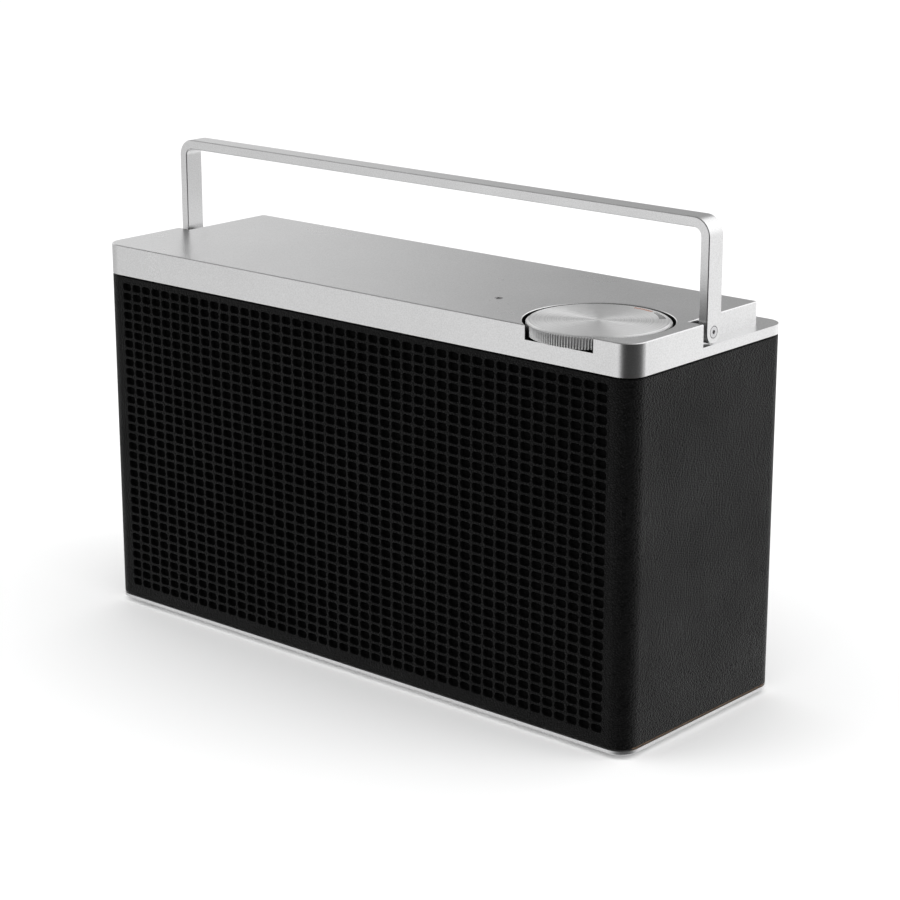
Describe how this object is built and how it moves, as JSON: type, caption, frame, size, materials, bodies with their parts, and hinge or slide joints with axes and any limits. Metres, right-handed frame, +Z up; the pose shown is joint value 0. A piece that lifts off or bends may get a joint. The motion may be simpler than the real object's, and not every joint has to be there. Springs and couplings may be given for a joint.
{
  "type": "portable radio",
  "caption": "Wide slim tabletop radio in a perforated leather wrap with an aluminium cap, fold-back bar handle, large knurled dial and telescopic antenna.",
  "frame": {"origin": "centre of the bounding box, on the surface that the rubber feet stand on", "axes": "+X to the right along the front, towards the dial; +Y from the front to the back; +Z up, towards the handle"},
  "size_m": [0.286, 0.1137, 0.2033],
  "materials": {
    "satin_aluminium": "bead-blasted satin anodised",
    "spun_aluminium": "spun-brushed top, knurled edge",
    "black_leather": "fine grained black hide, perforated over the front",
    "black_rubber": "matt",
    "cabinet_board": "stained fibreboard",
    "acoustic_cloth": "thin black cloth",
    "steel_screws": "blackened",
    "steel_pins": "turned",
    "spacer_plastic": "low friction",
    "encoder_metal": "pressed",
    "circuit_board": "green solder mask",
    "shield_can": "tinned",
    "battery_wrap": "shrink wrap",
    "black_plastic": "fine spark texture",
    "socket_plastic": "moulded",
    "contact_metal": "plated",
    "light_lens": "smoked",
    "bright_chrome": "bright",
    "driver_steel": "black coat",
    "paper_cone": "pressed paper",
    "magnet_black": "ferrite and plated steel"
  },
  "bodies": {
    "radio": {"acoustic_cloth": "acoustic_cloth", "antenna_base": "bright_chrome", "antenna_nut": "steel_pins", "aux_socket": "socket_plastic", "base_plate": "satin_aluminium", "base_screws": "steel_screws", "battery_pack": "battery_wrap", "battery_tray": "black_plastic", "cabinet": "cabinet_board", "cap_screws": "steel_screws", "control_board": "circuit_board", "driver_screws": "steel_screws", "encoder_nut": "steel_pins", "handle_pivot_pins": "steel_pins", "handle_spacers": "spacer_plastic", "leather_wrap": "black_leather", "left_driver_basket": "driver_steel", "left_driver_cone": "paper_cone", "left_driver_magnet": "magnet_black", "main_board": "circuit_board", "power_inlet": "socket_plastic", "power_inlet_pin": "contact_metal", "rear_panel": "black_plastic", "rear_panel_screws": "steel_screws", "right_driver_basket": "driver_steel", "right_driver_cone": "paper_cone", "right_driver_magnet": "magnet_black", "rotary_encoder": "encoder_metal", "rubber_feet": "black_rubber", "socket_board": "circuit_board", "speaker_baffle": "cabinet_board", "status_light_lens": "light_lens", "top_cap": "satin_aluminium", "tuner_module": "shield_can"},
    "handle": {"handle_bar": "satin_aluminium"},
    "dial_push": {"dial_push_sleeve": "steel_pins"},
    "dial_wheel": {"dial": "spun_aluminium", "dial_shaft": "steel_pins"},
    "antenna_swivel": {"antenna_knuckle": "bright_chrome", "antenna_elbow_pin": "steel_pins"},
    "antenna_tube_1": {"antenna_section_1": "bright_chrome"},
    "antenna_tube_2": {"antenna_section_2": "bright_chrome"},
    "antenna_tube_3": {"antenna_section_3": "bright_chrome"},
    "antenna_tube_4": {"antenna_section_4": "bright_chrome", "antenna_tip": "bright_chrome"}
  },
  "joints": [
    {"name": "handle_fold", "type": "hinge", "parent": "radio", "child": "handle", "pos_m": [0, -0.0026, 0.1594], "axis": [-1, 0, 0], "range_deg": [0, 90]},
    {"name": "dial_press", "type": "slide", "parent": "radio", "child": "dial_push", "axis": [0, 0, -1], "range_m": [0, 0.0005], "stiffness_N_per_m": 2000, "springref_m": -0.001},
    {"name": "dial_turn", "type": "hinge", "parent": "dial_push", "child": "dial_wheel", "pos_m": [0.1087, -0.02905, 0.1585], "axis": [0, 0, -1], "continuous": true},
    {"name": "antenna_swing", "type": "hinge", "parent": "radio", "child": "antenna_swivel", "pos_m": [-0.112, 0.05325, 0.136], "axis": [0, -1, 0], "range_deg": [0, 180]},
    {"name": "antenna_elbow", "type": "hinge", "parent": "antenna_swivel", "child": "antenna_tube_1", "pos_m": [-0.112, 0.05325, 0.136], "axis": [0, 0, 1], "range_deg": [0, 90]},
    {"name": "antenna_draw_2", "type": "slide", "parent": "antenna_tube_1", "child": "antenna_tube_2", "axis": [1, 0, 0], "range_m": [0, 0.15]},
    {"name": "antenna_draw_3", "type": "slide", "parent": "antenna_tube_2", "child": "antenna_tube_3", "axis": [1, 0, 0], "range_m": [0, 0.15]},
    {"name": "antenna_draw_4", "type": "slide", "parent": "antenna_tube_3", "child": "antenna_tube_4", "axis": [1, 0, 0], "range_m": [0, 0.15]}
  ]
}
